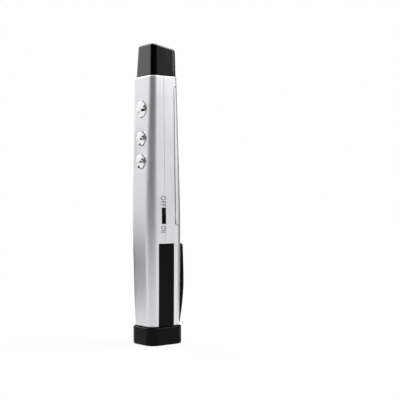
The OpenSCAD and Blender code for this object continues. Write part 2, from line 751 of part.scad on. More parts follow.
// ---- Receiver: it stows in the tail and is drawn out along -Z ----
spigot_w = 13.6;
spigot_t = 6.4;
spigot_h = 4.5;
shell_seam = 0.05;
receiver_recess = 0.05;    // how far the receiver's sides lie inside the body's
receiver_edge = 0.3;
socket_anchor = 3;         // length of the plug held inside the receiver
plug_metal = 0.3;
receiver_hw = half_w(tail_h) - receiver_wall;       // half the width of its hollow

module tail_cap() color("black") difference() {
    w = half_w(body_z0) + tail_lip;
    d = half_d(body_z0) + tail_lip;
    r = tail_edge_r + tail_lip / 2;
    steps = 4;
    hull() {
        for (i = [0:steps - 1]) let (a = 90 * i / steps, inset = tail_round * (1 - sin(a)))
            slab(tail_round * (1 - cos(a)), rounded(w - inset, d - inset, r - inset));
        translate([0, 0, tail_round])
            linear_extrude(tail_h - tail_round - receiver_edge) polygon(rounded(w, d, r));
        slab(tail_h - skin, rounded(w - receiver_edge, d - receiver_edge, r - receiver_edge));
    }
    block([-spigot_w / 2 - seat_gap, receiver_y - spigot_t / 2 - seat_gap, tail_h - spigot_h - seat_gap],
          [spigot_w / 2 + seat_gap, receiver_y + spigot_t / 2 + seat_gap, tail_h + 1]);
}

// The receiver's two shells together, before they part at the seam
module receiver_form() difference() {
    union() {
        intersection() {
            body_form(tail_h + skin, bay_top_z, inset = receiver_recess, steps = 6,
                chamfer = receiver_edge);
            block([-reach, receiver_y - receiver_t / 2, 0], [reach, receiver_y + receiver_t / 2, total_h]);
        }
        block([-spigot_w / 2, receiver_y - spigot_t / 2, tail_h - spigot_h],
              [spigot_w / 2, receiver_y + spigot_t / 2, tail_h + 1]);
    }
    block([-receiver_hw, receiver_y - receiver_t / 2 + receiver_wall, tail_h + receiver_wall],
          [receiver_hw, receiver_y + receiver_t / 2 - receiver_wall, bay_top_z - receiver_wall]);
    block([-plug_w / 2, receiver_y - plug_t / 2, bay_top_z - 2 * receiver_wall],
          [plug_w / 2, receiver_y + plug_t / 2, total_h]);
}
module receiver_front_shell() color("black") intersection() {
    receiver_form();
    block([-reach, -reach, 0], [reach, receiver_y + receiver_seam - shell_seam / 2, total_h]);
}

module receiver_rear_shell() color("black") intersection() {
    receiver_form();
    block([-reach, receiver_y + receiver_seam + shell_seam / 2, 0], [reach, reach, total_h]);
}

tongue_t = 1.8;
tongue_y1 = receiver_y + plug_t / 2 - plug_metal;
plug_z0 = bay_top_z - socket_anchor;
tongue_z1 = plug_top_z - plug_metal;
contact_t = 0.15;
contact_w = 1;
contact_pitch = 2.4;
window_w = 2.4;
window_l = 2;

module usb_shell() color("silver") difference() {
    block([-plug_w / 2, receiver_y - plug_t / 2, plug_z0],
          [plug_w / 2, receiver_y + plug_t / 2, plug_top_z]);
    block([-plug_w / 2 + plug_metal, receiver_y - plug_t / 2 + plug_metal, plug_z0 - 1],
          [plug_w / 2 - plug_metal, receiver_y + plug_t / 2 - plug_metal, plug_top_z + 1]);
    // latch windows in both broad faces
    for (s = [-1, 1]) translate([s * plug_w / 5, receiver_y, plug_top_z - plug_l / 2])
        cube([window_w, 2 * plug_t, window_l], center = true);
}

module usb_tongue() color("white")
    block([-plug_w / 2 + plug_metal + seat_gap, tongue_y1 - tongue_t, plug_z0 + seat_gap],
          [plug_w / 2 - plug_metal - seat_gap, tongue_y1 - seat_gap / 2, tongue_z1]);

module usb_contacts() color("gold") for (i = [-1.5:1.5])
    translate([
        i * contact_pitch - contact_w / 2, tongue_y1 - tongue_t - contact_t, plug_z0 + 2 * contact_w
    ]) cube([contact_w, contact_t, tongue_z1 - plug_z0 - 3 * contact_w]);

card_room = 0.8;           // between the receiver's board and its shells
card_hw = receiver_hw - card_room;
card_z0 = tail_h + receiver_wall + card_room;
module receiver_board() color("darkgreen")
    block([-card_hw, receiver_y - board_t / 2, card_z0],
          [card_hw, receiver_y + board_t / 2, plug_z0 - seat_gap]);

card_chip_w = 5;
card_chip_h = 0.9;
module receiver_chip() color("black")
    translate([-card_chip_w / 2, receiver_y - board_t / 2 - card_chip_h, (card_z0 + plug_z0) / 2])
        cube([card_chip_w, card_chip_h, card_chip_w]);

front_housing();
rear_housing();
nose_cap();
battery_door();
pocket_clip();
clip_screw();
laser_button();
page_up_button();
page_down_button();
laser_plunger();
page_up_plunger();
page_down_plunger();
laser_switch();
page_up_switch();
page_down_switch();
power_knob();
power_switch_case();
main_board();
radio_chip();
crystal();
laser_barrel();
laser_lens();
laser_diode();
laser_board();
battery_cell();
battery_spring();
battery_plate();
housing_screws();
board_screws();
tail_cap();
receiver_front_shell();
receiver_rear_shell();
receiver_board();
receiver_chip();
usb_shell();
usb_tongue();
usb_contacts();
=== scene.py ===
# %% [markdown]
# # A pen-shaped presenter
#
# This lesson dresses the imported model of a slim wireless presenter: two silver half-shells, a gloss
# black nose, plated buttons, a black receiver stowed in the tail, and a pocket clip behind. All is in
# metres, in the frame of the CAD model: +Z runs from tail to nose, the buttons face -Y, the power
# switch is on +X. The CAD model gives each piece its place. Left for Blender are the finishes, the
# soft edges, the print beside the switch, and small parts that a solid model has no need of.

# %% The frame
import json
import math

import bmesh
import bpy
from mathutils import Matrix, Vector
from mathutils.bvhtree import BVHTree

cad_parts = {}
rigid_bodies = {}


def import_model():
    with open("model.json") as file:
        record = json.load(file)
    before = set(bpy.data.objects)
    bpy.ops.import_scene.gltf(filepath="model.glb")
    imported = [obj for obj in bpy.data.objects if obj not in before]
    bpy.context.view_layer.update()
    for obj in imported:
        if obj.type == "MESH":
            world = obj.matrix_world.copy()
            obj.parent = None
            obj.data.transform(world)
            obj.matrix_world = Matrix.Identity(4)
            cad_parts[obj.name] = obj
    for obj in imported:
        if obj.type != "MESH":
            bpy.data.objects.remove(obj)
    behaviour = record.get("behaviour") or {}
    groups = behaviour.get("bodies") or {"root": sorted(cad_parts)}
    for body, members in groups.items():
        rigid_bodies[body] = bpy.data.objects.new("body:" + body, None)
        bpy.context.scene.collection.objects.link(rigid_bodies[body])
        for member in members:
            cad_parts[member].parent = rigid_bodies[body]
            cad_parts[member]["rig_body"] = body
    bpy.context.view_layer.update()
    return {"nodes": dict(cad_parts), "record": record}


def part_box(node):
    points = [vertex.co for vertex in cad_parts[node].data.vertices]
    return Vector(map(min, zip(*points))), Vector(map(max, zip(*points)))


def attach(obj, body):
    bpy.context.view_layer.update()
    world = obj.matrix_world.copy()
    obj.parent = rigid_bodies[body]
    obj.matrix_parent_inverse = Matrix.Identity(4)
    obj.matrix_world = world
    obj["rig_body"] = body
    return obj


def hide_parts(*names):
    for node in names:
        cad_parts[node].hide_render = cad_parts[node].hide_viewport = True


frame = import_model()
nodes = frame["nodes"]
slot_of = {part["node"]: part["material_slot"] for part in frame["record"]["subparts"]}
mm = 0.001
print("pieces in the frame:", len(nodes))

# %% [markdown]
# ## Camera
#
# A slim object wants a long lens, or its nose and tail lean apart. The camera stands at half the
# presenter's height and looks level, so that upright edges stay upright.

# %% Camera
view_azimuth = 55.0        # degrees from -Y towards +X
camera_distance = 0.459
eye_height = 0.0719
aim_left = 2.748           # degrees; the presenter stands left of the middle of the frame
lean = -0.43               # degrees of roll
focal_length = 81.8        # mm
sensor_width = 36          # mm
far_clip = 20


def from_front(azimuth, distance, height):
    """A point round the presenter, by its azimuth in degrees from -Y towards +X."""
    a = math.radians(azimuth)
    return Vector((math.sin(a) * distance, -math.cos(a) * distance, height))


camera_data = bpy.data.cameras.new("camera")
camera_data.lens = focal_length
camera_data.sensor_width = sensor_width
camera_data.clip_end = far_clip
camera = bpy.data.objects.new("camera", camera_data)
bpy.context.scene.collection.objects.link(camera)
forward = -from_front(view_azimuth - aim_left, 1, 0)
turn = forward.to_track_quat("-Z", "Y").to_matrix().to_4x4()
camera.matrix_world = (
    Matrix.Translation(from_front(view_azimuth, camera_distance, eye_height))
    @ turn
    @ Matrix.Rotation(math.radians(lean), 4, "Z")
)
bpy.context.scene.camera = camera
print("camera at", [round(c, 3) for c in camera.matrix_world.translation])

# %% [markdown]
# ## Light
#
# A shiny object is lit by what it mirrors. Three large soft lamps give plain light: one on the left
# for the front, one on the right for the side, and a weak one behind. Cards round the presenter,
# which only reflections see, draw the rest. Each does what leaving it out undoes:
#
# - card_camera makes the dark edge between the two lit faces; card_nose and card_above, higher up,
#   and card_foot, by the floor, deepen it;
# - card_lens darkens the buttons a little;
# - card_right keeps the side of the nose black and tones the silver side;
# - card_rear, card_back and card_heel draw the dark line down the far edge;
# - card_front takes a little light off the front, and card_low shades its lower end.
#
# Dark lamps don't exist, so a studio does this with card too.


# %% Materials for the stage
def new_material(name):
    """A fresh material whose node tree holds only its output."""
    material = bpy.data.materials.new(name)
    material.use_nodes = True
    tree = material.node_tree
    tree.nodes.clear()
    output = tree.nodes.new("ShaderNodeOutputMaterial")
    return material, tree, output


def glow_material(name, strength):
    """A material that glows evenly and mirrors nothing."""
    material, tree, output = new_material(name)
    glow = tree.nodes.new("ShaderNodeEmission")
    glow.inputs["Strength"].default_value = strength
    tree.links.new(glow.outputs[0], output.inputs["Surface"])
    return material


# %% Lamps and cards
lamp_side = 0.8
lamp_aim = Vector((0, 0, 0.08))
card_steps = 24                        # flat strips in a curved card


def soft_lamp(name, azimuth, distance, height, watts):
    """A square area lamp that faces the presenter's middle."""
    data = bpy.data.lights.new(name, "AREA")
    data.shape = "SQUARE"
    data.size = lamp_side
    data.energy = watts
    lamp = bpy.data.objects.new(name, data)
    bpy.context.scene.collection.objects.link(lamp)
    place = from_front(azimuth, distance, height)
    aim = (lamp_aim - place).to_track_quat("-Z", "Y").to_matrix().to_4x4()
    lamp.matrix_world = Matrix.Translation(place) @ aim


def card(name, azimuths, distance, heights, strength):
    """A curved upright sheet round the presenter, which only reflections see."""
    verts = []
    for i in range(card_steps + 1):
        azimuth = azimuths[0] + (azimuths[1] - azimuths[0]) * i / card_steps
        verts += [from_front(azimuth, distance, z) for z in heights]
    faces = [(2 * i, 2 * i + 2, 2 * i + 3, 2 * i + 1) for i in range(card_steps)]
    mesh = bpy.data.meshes.new(name)
    mesh.from_pydata(verts, [], faces)
    mesh.materials.append(glow_material(name, strength))
    obj = bpy.data.objects.new(name, mesh)
    bpy.context.scene.collection.objects.link(obj)
    obj.visible_camera = False
    obj.visible_diffuse = False
    obj.visible_shadow = False


# name, azimuth in degrees, distance, height, watts
soft_lamp("lamp_left", -85, 1.2, 1.0, 11)
soft_lamp("lamp_right", 142, 1.0, 0.75, 11.5)
soft_lamp("lamp_back", 200, 0.8, 1.2, 5)

# name, azimuths in degrees, distance, heights, strength
card("card_camera", (2, 97), 0.75, (0.015, 0.27), 0.055)
card("card_nose", (-18, 106), 0.75, (0.27, 0.46), 0.01)
card("card_foot", (-4, 97), 0.4, (0.0, 0.05), 0.03)
card("card_above", (-4, 97), 0.76, (0.46, 1.2), 0.32)
card("card_lens", (-34, -4), 0.74, (0.03, 0.2), 0.02)
card("card_right", (99, 136), 0.8, (0.0, 0.4), 0.25)
card("card_rear", (140, 175), 0.78, (0.0, 0.6), 0.5)
card("card_back", (168, 250), 0.7, (0.0, 0.8), 0.03)
card("card_heel", (148, 250), 0.15, (0.0, 0.075), 0.03)
card("card_front", (-125, -44), 0.78, (0.0, 0.12), 0.72)
card("card_low", (-135, -44), 0.15, (0.0, 0.046), 0.0)
print("lamps:", len(bpy.data.lights))

# %% [markdown]
# The floor and the world are white for the camera and for gloss and glass, and give only plain light
# to the rest. Close to the presenter the floor keeps a little real shading, so that it stands on
# something. Further out that share fades, or the floor would end in a visible horizon.


# %% Floor and world
def background_mask(tree):
    """1 for the rays that should meet plain white: those of the camera, of gloss and of glass."""
    path = tree.nodes.new("ShaderNodeLightPath")
    mask = path.outputs["Is Camera Ray"]
    for label in ("Is Glossy Ray", "Is Transmission Ray"):
        either = tree.nodes.new("ShaderNodeMath")
        either.operation = "MAXIMUM"
        tree.links.new(mask, either.inputs[0])
        tree.links.new(path.outputs[label], either.inputs[1])
        mask = either.outputs[0]
    return mask


floor_half = 4                          # half the side of the floor
paper_white = 0.9
shade_near, shade_far = 0.12, 0.45      # where the floor's own shading fades out
white_near = 0.92                       # the share of plain white close to the presenter
world_light = 0.4                       # the world's strength as plain light

floor_mesh = bpy.data.meshes.new("floor")
floor_corners = [(x * floor_half, y * floor_half, 0) for x, y in ((-1, -1), (1, -1), (1, 1), (-1, 1))]
floor_mesh.from_pydata(floor_corners, [], [(0, 1, 2, 3)])
floor = bpy.data.objects.new("floor", floor_mesh)
bpy.context.scene.collection.objects.link(floor)
floor_material, tree, output = new_material("floor")
paper = tree.nodes.new("ShaderNodeBsdfDiffuse")
paper.inputs["Color"].default_value = (paper_white, paper_white, paper_white, 1)
white = tree.nodes.new("ShaderNodeEmission")
place = tree.nodes.new("ShaderNodeNewGeometry")
reach = tree.nodes.new("ShaderNodeVectorMath")
reach.operation = "LENGTH"
tree.links.new(place.outputs["Position"], reach.inputs[0])
fade = tree.nodes.new("ShaderNodeMapRange")
fade.inputs["From Min"].default_value = shade_near
fade.inputs["From Max"].default_value = shade_far
fade.inputs["To Min"].default_value = white_near
tree.links.new(reach.outputs["Value"], fade.inputs["Value"])
share = tree.nodes.new("ShaderNodeMath")
share.operation = "MULTIPLY"
tree.links.new(background_mask(tree), share.inputs[0])
tree.links.new(fade.outputs["Result"], share.inputs[1])
blend = tree.nodes.new("ShaderNodeMixShader")
tree.links.new(share.outputs[0], blend.inputs["Fac"])
tree.links.new(paper.outputs[0], blend.inputs[1])
tree.links.new(white.outputs[0], blend.inputs[2])
tree.links.new(blend.outputs[0], output.inputs["Surface"])
floor_mesh.materials.append(floor_material)

world = bpy.data.worlds.new("studio")
bpy.context.scene.world = world
world.use_nodes = True
tree = world.node_tree
tree.nodes.clear()
background = tree.nodes.new("ShaderNodeBackground")
background.inputs["Color"].default_value = (1, 1, 1, 1)
strength = tree.nodes.new("ShaderNodeMapRange")
strength.inputs["To Min"].default_value = world_light
tree.links.new(background_mask(tree), strength.inputs["Value"])
tree.links.new(strength.outputs["Result"], background.inputs["Strength"])
world_output = tree.nodes.new("ShaderNodeOutputWorld")
tree.links.new(background.outputs[0], world_output.inputs["Surface"])
bpy.context.scene.view_settings.view_transform = "Standard"
print("floor fades between", shade_near, "and", shade_far, "m")

# %% [markdown]
# ## Effects that several finishes share
#
# Moulded plastic, paint and metal differ in their numbers more than in kind: all have a fine grain,
# places that are a touch rougher, edges that rub bare, and dust on what faces up. Each effect is a
# node group, built once, that puts out a mask or a height. Each finish places it with its own values.


# %% Helpers for node groups
FLOAT = "NodeSocketFloat"


def new_group(name, inputs, outputs):
    """A shader node group with named float sockets; inputs give their first values."""
    group = bpy.data.node_groups.new(name, "ShaderNodeTree")
    for label, value in inputs.items():
        group.interface.new_socket(label, in_out="INPUT", socket_type=FLOAT).default_value = value
    for label in outputs:
        group.interface.new_socket(label, in_out="OUTPUT", socket_type=FLOAT)
    return group, group.nodes.new("NodeGroupInput").outputs, group.nodes.new("NodeGroupOutput").inputs


def feed(tree, value, socket):
    """Sets a socket from a number, or links it from another socket."""
    if isinstance(value, (int, float)):
        socket.default_value = value
    else:
        tree.links.new(value, socket)


def math_node(tree, operation, a, b):
    """The result of one operation on two numbers or sockets."""
    node = tree.nodes.new("ShaderNodeMath")
    node.operation = operation
    feed(tree, a, node.inputs[0])
    feed(tree, b, node.inputs[1])
    return node.outputs[0]


def map_range(tree, value, low, high, to_low=0.0, to_high=1.0):
    """value, with low to high spread over to_low to to_high."""
    node = tree.nodes.new("ShaderNodeMapRange")
    feed(tree, value, node.inputs["Value"])
    for label, number in (("From Min", low), ("From Max", high), ("To Min", to_low), ("To Max", to_high)):
        node.inputs[label].default_value = number
    return node.outputs["Result"]


def noise(tree, cells, detail=2.0, stretch=None):
    """Noise in object space, with so many cells to a metre; stretch scales the axes first."""
    texture = tree.nodes.new("ShaderNodeTexNoise")
    texture.inputs["Detail"].default_value = detail
    feed(tree, cells, texture.inputs["Scale"])
    where = tree.nodes.new("ShaderNodeTexCoord").outputs["Object"]
    if stretch:
        mapping = tree.nodes.new("ShaderNodeMapping")
        mapping.inputs["Scale"].default_value = stretch
        tree.links.new(where, mapping.inputs["Vector"])
        where = mapping.outputs["Vector"]
    tree.links.new(where, texture.inputs["Vector"])
    return texture.outputs["Fac"]


def voronoi(tree, cells, feature="F1"):
    """The outputs of a cell pattern in object space, with so many cells to a metre."""
    texture = tree.nodes.new("ShaderNodeTexVoronoi")
    texture.feature = feature
    feed(tree, cells, texture.inputs["Scale"])
    tree.links.new(tree.nodes.new("ShaderNodeTexCoord").outputs["Object"], texture.inputs["Vector"])
    return texture.outputs


# %% The groups
# a fine grain, and blotches that set where a finish takes its other tone and is a touch rougher
grain, values, out = new_group("grain", {"Cells": 6000, "Blotch Cells": 90}, ["Height", "Blotch"])
grain.links.new(noise(grain, values["Cells"]), out["Height"])
grain.links.new(noise(grain, values["Blotch Cells"], detail=3.0), out["Blotch"])

# metal flake in paint: each cell has its own brightness
flake, values, out = new_group("flake", {"Cells": 9000}, ["Shade"])
split = flake.nodes.new("ShaderNodeSeparateColor")
flake.links.new(voronoi(flake, values["Cells"])["Color"], split.inputs["Color"])
flake.links.new(split.outputs["Red"], out["Shade"])

# edges rubbed bare: where a rounded copy of the surface turns away from the surface itself
edge_cosines = (0.995, 0.93)       # between the two normals, from no wear to full wear
worn_noise = (0.48, 0.62)
edge_wear, values, out = new_group("edge_wear", {"Radius": 0.12 * mm, "Cells": 900}, ["Mask"])
rounded = edge_wear.nodes.new("ShaderNodeBevel")
edge_wear.links.new(values["Radius"], rounded.inputs["Radius"])
shape = edge_wear.nodes.new("ShaderNodeNewGeometry")
agree = edge_wear.nodes.new("ShaderNodeVectorMath")
agree.operation = "DOT_PRODUCT"
edge_wear.links.new(rounded.outputs["Normal"], agree.inputs[0])
edge_wear.links.new(shape.outputs["Normal"], agree.inputs[1])
at_edge = map_range(edge_wear, agree.outputs["Value"], *edge_cosines)
worn = map_range(edge_wear, noise(edge_wear, values["Cells"], detail=4.0), *worn_noise)
edge_wear.links.new(math_node(edge_wear, "MULTIPLY", at_edge, worn), out["Mask"])

# dust settles on what faces up
facing_up = (0.3, 0.95)            # the normal's Z, from no dust to full dust
speck_noise = (0.5, 0.7)
dust, values, out = new_group("dust", {"Cells": 2500}, ["Mask"])
shape = dust.nodes.new("ShaderNodeNewGeometry")
upright = dust.nodes.new("ShaderNodeSeparateXYZ")
dust.links.new(shape.outputs["Normal"], upright.inputs[0])
faces_up = map_range(dust, upright.outputs["Z"], *facing_up)
specks = map_range(dust, noise(dust, values["Cells"], detail=5.0), *speck_noise)
dust.links.new(math_node(dust, "MULTIPLY", faces_up, specks), out["Mask"])

# smudges: the smears that fingers leave on gloss, drawn out along Z
smear_stretch = (1, 1, 0.45)
smear_noise = (0.45, 0.7)
smudge, values, out = new_group("smudge", {"Cells": 160}, ["Mask"])
smears = noise(smudge, values["Cells"], detail=4.0, stretch=smear_stretch)
smudge.links.new(map_range(smudge, smears, *smear_noise), out["Mask"])

# strokes along Z of a brush or a rolling mill
stroke_stretch = (1, 1, 0.03)
brushed, values, out = new_group("brushed", {"Cells": 9000}, ["Height"])
brushed.links.new(noise(brushed, values["Cells"], stretch=stroke_stretch), out["Height"])

# copper tracks that show through the lacquer of a circuit board
track_sides = (0.09, 0.05)         # how far from a cell's edge, of its size, a track fades in
tracks, values, out = new_group("tracks", {"Cells": 420}, ["Mask"])
cell_edge = voronoi(tracks, values["Cells"], "DISTANCE_TO_EDGE")["Distance"]
tracks.links.new(map_range(tracks, cell_edge, *track_sides), out["Mask"])
print("effects:", [group.name for group in bpy.data.node_groups])

# %% [markdown]
# ## Finishes
#
# One function makes every opaque finish. The base colour starts as a blend of two near tones, and
# wear, dust or a pattern are mixed over it only where a finish asks for them. Sheen, coat and index
# of refraction are the same all over, so they are plain numbers on the shader.


# %% The finish maker
BLOTCH_RANGE = (0.3, 0.7)          # the part of the blotch noise that roughness follows
DUST_GREY = (0.42, 0.41, 0.39)


def over(tree, mask, below, colour):
    """colour laid over below where mask is 1; below is a colour or a socket."""
    node = tree.nodes.new("ShaderNodeMix")
    node.data_type = "RGBA"
    feed(tree, mask, node.inputs["Factor"])
    if isinstance(below, tuple):
        node.inputs["A"].default_value = (*below, 1)
    else:
        tree.links.new(below, node.inputs["A"])
    node.inputs["B"].default_value = (*colour, 1)
    return node.outputs["Result"]


def place_group(tree, group, **values):
    """The outputs of a placed group, with values set by the names of its inputs."""
    node = tree.nodes.new("ShaderNodeGroup")
    node.node_tree = group
    for label, value in values.items():
        node.inputs[label.replace("_", " ").title()].default_value = value
    return node.outputs


def finish(
    name, colour, other, rough, spread=0.05, cells=6000, blotch=90, bump=0.2, depth=0.02 * mm, fixed=None,
    pattern=None, pattern_colour=None, wear=0.0, bare=(0.5, 0.5, 0.5), dusty=0.0, smears=0.0,
):
    """An opaque finish that blends colour with the other tone.

    fixed holds the shader's plain numbers by the names of their sockets; pattern is a group and its
    cells to a metre; wear, dusty and smears say how strongly each effect shows.
    """
    material, tree, output = new_material(name)
    shader = tree.nodes.new("ShaderNodeBsdfPrincipled")
    tree.links.new(shader.outputs[0], output.inputs["Surface"])
    for label, value in (fixed or {}).items():
        shader.inputs[label].default_value = value
    texture = place_group(tree, grain, cells=cells, blotch_cells=blotch)
    base = over(tree, texture["Blotch"], colour, other)
    roughness = map_range(tree, texture["Blotch"], *BLOTCH_RANGE, rough - spread, rough + spread)
    height = texture["Height"]
    if pattern:
        mask = place_group(tree, pattern[0], cells=pattern[1])[0]
        if pattern_colour:
            base = over(tree, mask, base, pattern_colour)
        height = math_node(tree, "ADD", height, mask)
    if wear:
        mask = place_group(tree, edge_wear)["Mask"]
        base = over(tree, math_node(tree, "MULTIPLY", mask, wear), base, bare)
    if dusty:
        mask = math_node(tree, "MULTIPLY", place_group(tree, dust)["Mask"], dusty)
        base = over(tree, mask, base, DUST_GREY)
        roughness = math_node(tree, "ADD", roughness, mask)
    if smears:
        mask = math_node(tree, "MULTIPLY", place_group(tree, smudge)["Mask"], smears)
        roughness = math_node(tree, "ADD", roughness, mask)
    tree.links.new(base, shader.inputs["Base Color"])
    tree.links.new(roughness, shader.inputs["Roughness"])
    dent = tree.nodes.new("ShaderNodeBump")
    dent.inputs["Strength"].default_value = bump
    dent.inputs["Distance"].default_value = depth
    tree.links.new(height, dent.inputs["Height"])
    tree.links.new(dent.outputs["Normal"], shader.inputs["Normal"])
    return material


# %% [markdown]
# The body's paint is fine aluminium flake, with the long low waves that sprayed paint dries to. It
# covers only the outside. Inside, and in the walls of slots and gaps, the dark plastic stays raw; its
# near-black tone also paints the shade in those gaps, which is what makes them read as black lines.

# %% Finishes outside
METAL = {"Metallic": 1.0}
silver_paint = finish(
    "silver_paint", (0.79, 0.785, 0.81), (0.83, 0.825, 0.845), rough=0.36, spread=0.02, cells=700,
    blotch=60, bump=0.25, depth=0.004 * mm, fixed={"Metallic": 0.86}, pattern=(flake, 9000),
    pattern_colour=(0.86, 0.86, 0.885), wear=0.5, bare=(0.30, 0.30, 0.31), dusty=0.1, smears=0.04,
)
# the raw plastic inside, near-black, which also serves as painted shade in gaps and slots
raw_plastic_and_gap_shade = finish(
    "raw_plastic_and_gap_shade", (0.012, 0.012, 0.013), (0.018, 0.018, 0.019), rough=0.5,
    fixed={"Specular IOR Level": 0.3},
)
gloss_black = finish(
    "gloss_black", (0.001, 0.001, 0.0015), (0.0015, 0.0015, 0.002), rough=0.055, spread=0.01, cells=900,
    bump=0.05, depth=0.003 * mm, fixed={"IOR": 1.8}, dusty=0.012, smears=0.05,
)
satin_black = finish(
    "satin_black", (0.0014, 0.0012, 0.0018), (0.003, 0.0028, 0.0035), rough=0.29, spread=0.04,
    cells=5200, bump=0.25, depth=0.01 * mm, fixed={"Specular IOR Level": 0.08}, wear=0.25,
    bare=(0.02, 0.02, 0.021), dusty=0.015,
)
chrome = finish(
    "chrome", (0.84, 0.84, 0.855), (0.88, 0.88, 0.89), rough=0.055, spread=0.015, cells=1500,
    blotch=300, bump=0.06, depth=0.003 * mm, fixed=METAL, smears=0.09,
)
matt_black = finish(
    "matt_black", (0.002, 0.002, 0.0022), (0.004, 0.004, 0.0045), rough=0.45, cells=9000, bump=0.3,
    fixed={"Specular IOR Level": 0.1}, wear=0.2, bare=(0.03, 0.03, 0.03),
)
print_grey = finish(
    "print_grey", (0.13, 0.13, 0.135), (0.19, 0.19, 0.195), rough=0.5, cells=16000, blotch=4000,
    fixed={"Specular IOR Level": 0.3},
)

# %% [markdown]
# The pieces inside show once the door is off or the receiver is drawn out. Sheet metal has the strokes
# of its rolling, boards show their tracks under the lacquer, and the cell has a printed sleeve
# between bare steel ends.

# %% Finishes inside
natural_plastic = finish("natural_plastic", (0.70, 0.69, 0.65), (0.76, 0.75, 0.70), rough=0.42)
dark_plastic = finish("dark_plastic", (0.022, 0.022, 0.023), (0.035, 0.035, 0.036), rough=0.45, bump=0.3)
tin = finish(
    "tin", (0.55, 0.55, 0.53), (0.66, 0.66, 0.63), rough=0.32, cells=3000, fixed=METAL,
    pattern=(brushed, 7000),
)
solder_mask = finish(
    "solder_mask", (0.010, 0.085, 0.030), (0.014, 0.105, 0.04), rough=0.28, blotch=500, bump=0.35,
    fixed={"Coat Weight": 0.3}, pattern=(tracks, 420), pattern_colour=(0.035, 0.21, 0.07),
)
package = finish(
    "package", (0.014, 0.014, 0.016), (0.024, 0.024, 0.026), rough=0.55, cells=15000, bump=0.4,
)
dark_tan = finish("dark_tan", (0.16, 0.10, 0.05), (0.21, 0.14, 0.08), rough=0.4, cells=12000)
brass = finish(
    "brass", (0.68, 0.46, 0.17), (0.76, 0.55, 0.23), rough=0.27, cells=2500, fixed=METAL, smears=0.1,
)
gilt = finish("gilt", (0.83, 0.60, 0.22), (0.88, 0.68, 0.30), rough=0.2, cells=4000, fixed=METAL)
sleeve = finish(
    "sleeve", (0.012, 0.11, 0.055), (0.02, 0.14, 0.07), rough=0.24, cells=1200, depth=0.01 * mm,
    fixed={"Metallic": 0.35, "Coat Weight": 0.6}, smears=0.08,
)
sleeve_band = finish(
    "sleeve_band", (0.55, 0.55, 0.54), (0.62, 0.62, 0.6), rough=0.24, cells=1200, depth=0.01 * mm,
    fixed={"Metallic": 0.5, "Coat Weight": 0.6}, smears=0.08,
)
nickel = finish(
    "nickel", (0.66, 0.65, 0.62), (0.73, 0.72, 0.69), rough=0.22, cells=3000, fixed=METAL,
    pattern=(brushed, 9000), wear=0.4, bare=(0.55, 0.42, 0.22), smears=0.1,
)
black_steel = finish(
    "black_steel", (0.07, 0.07, 0.075), (0.11, 0.11, 0.115), rough=0.36, fixed=METAL, wear=0.6,
    bare=(0.4, 0.4, 0.4),
)
print("finishes:", len([m for m in bpy.data.materials if m.node_tree]))

# %% [markdown]
# The collimating lens is the one clear piece. Glass keeps a plain metallic and transmission, and its
# only texture is the faint unevenness of a moulded lens.

# %% Lens glass
lens_glass, tree, output = new_material("lens_glass")
shader = tree.nodes.new("ShaderNodeBsdfPrincipled")
tree.links.new(shader.outputs[0], output.inputs["Surface"])
shader.inputs["Transmission Weight"].default_value = 1.0
shader.inputs["IOR"].default_value = 1.52
texture = place_group(tree, grain, cells=900, blotch_cells=400)
tint = over(tree, texture["Blotch"], (0.86, 0.92, 0.97), (0.92, 0.96, 1.0))
roughness = map_range(tree, texture["Blotch"], *BLOTCH_RANGE, 0.01, 0.04)
tree.links.new(tint, shader.inputs["Base Color"])
tree.links.new(roughness, shader.inputs["Roughness"])

finish_of = {
    "housing_silver": silver_paint, "nose_black": gloss_black, "trim_black": satin_black,
    "button_chrome": chrome, "knob_black": matt_black, "plunger_white": natural_plastic,
    "switch_dark": dark_plastic, "switch_tin": tin, "board_green": solder_mask, "chip_black": package,
    "crystal_steel": tin, "barrel_brass": brass, "lens_clear": lens_glass, "diode_gold": gilt,
    "cell_sleeve": sleeve, "contact_nickel": nickel, "screw_steel": black_steel, "plug_steel": nickel,
    "tongue_white": natural_plastic, "contact_gold": gilt,
}
for name, obj in nodes.items():
    obj.data.materials.clear()
    obj.data.materials.append(finish_of[slot_of[name]])
print("nodes given a finish:", len(nodes))

# %% [markdown]
# ## The outer shells
#
# A lofted CAD shell is made of flat strips. On the real one the strips flow into each other, and each
# cut edge is rounded by a fraction of a millimetre, which catches the light. So each outer piece
# is a welded copy of its solid: smooth but for its sharp edges, with a small bevel along those, and
# normals weighted by face area, so that flat faces stay flat and only the corners shade round.
#
# The painted shells need two finishes. A face is painted if it looks out into the open: a ray along
# its normal must not meet a piece, but for those that only stand in front, such as the clip, and the
# receiver, which draws out. The two faces of the parting line are painted too, as overspray gets
# between them. The rest take the near-black raw plastic, which also paints the shade in the gaps.

# %% What faces the open
IN_FRONT = ("pocket_clip", "clip_screw", "nose_cap", "laser_button", "page_up_button", "page_down_button")
seam_room = 0.12 * mm      # a gap narrower than this gets painted through
ray_start = 0.004          # mm off the face, so that a ray doesn't meet the face it leaves
ray_length = 0.05


def tree_of(names):
    """A search tree over the faces of several nodes."""
    verts, faces = [], []
    for node in names:
        mesh = nodes[node].data
        start = len(verts)
        verts += [v.co.copy() for v in mesh.vertices]
        faces += [tuple(start + i for i in p.vertices) for p in mesh.polygons]
    return BVHTree.FromPolygons(verts, faces)


receiver_nodes = frame["record"]["behaviour"]["bodies"]["receiver"]
blockers = tree_of([n for n in nodes if n not in IN_FRONT and n not in receiver_nodes])


def faces_open(centre, normal):
    """Whether a face looks out into the open, or across a gap that paint gets into."""
    hit = blockers.ray_cast(centre + normal * ray_start * mm, normal, ray_length)
    return hit[0] is None or hit[3] < seam_room


# %% Dressing a shell
weld_distance = 0.002 * mm
round_angle = 40           # degrees: corners sharper than this get rounded
least_room = 0.5           # of the rounding's width: no shorter edge may meet a rounded one


def new_object(name, mesh, body):
    """Links a piece and says which body it rides on."""
    obj = bpy.data.objects.new(name, mesh)
    bpy.context.scene.collection.objects.link(obj)
    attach(obj, body)
    return obj


